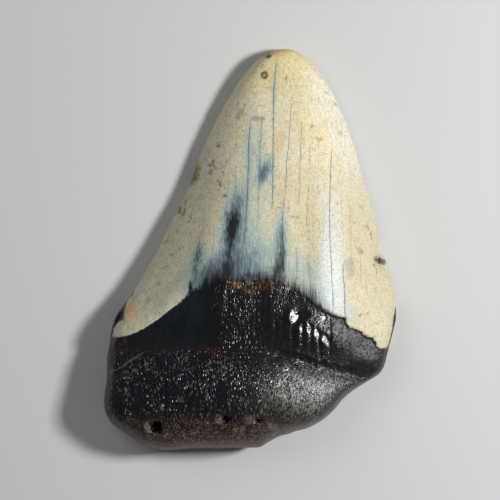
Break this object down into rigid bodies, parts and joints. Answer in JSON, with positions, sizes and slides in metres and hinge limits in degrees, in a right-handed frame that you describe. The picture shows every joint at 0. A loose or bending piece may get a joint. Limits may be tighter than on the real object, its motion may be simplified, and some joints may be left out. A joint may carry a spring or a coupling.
{
  "type": "megalodon tooth",
  "caption": "Waterworn fossil shark tooth with a cream enamel crown, a dark fluted neck band and a worn black root, lying on its flat lip-side face.",
  "frame": {"origin": "middle of the tooth's bounding box, on the plane that it lies on", "axes": "+X across the tooth, +Y towards the tip of the crown, +Z out of the rounded tongue-side face"},
  "size_m": [0.0804, 0.1106, 0.023],
  "materials": {
    "fossil": "polished cream enamel, glossy black neck and root"
  },
  "bodies": {
    "root": {"tooth": "fossil"}
  },
  "joints": []
}
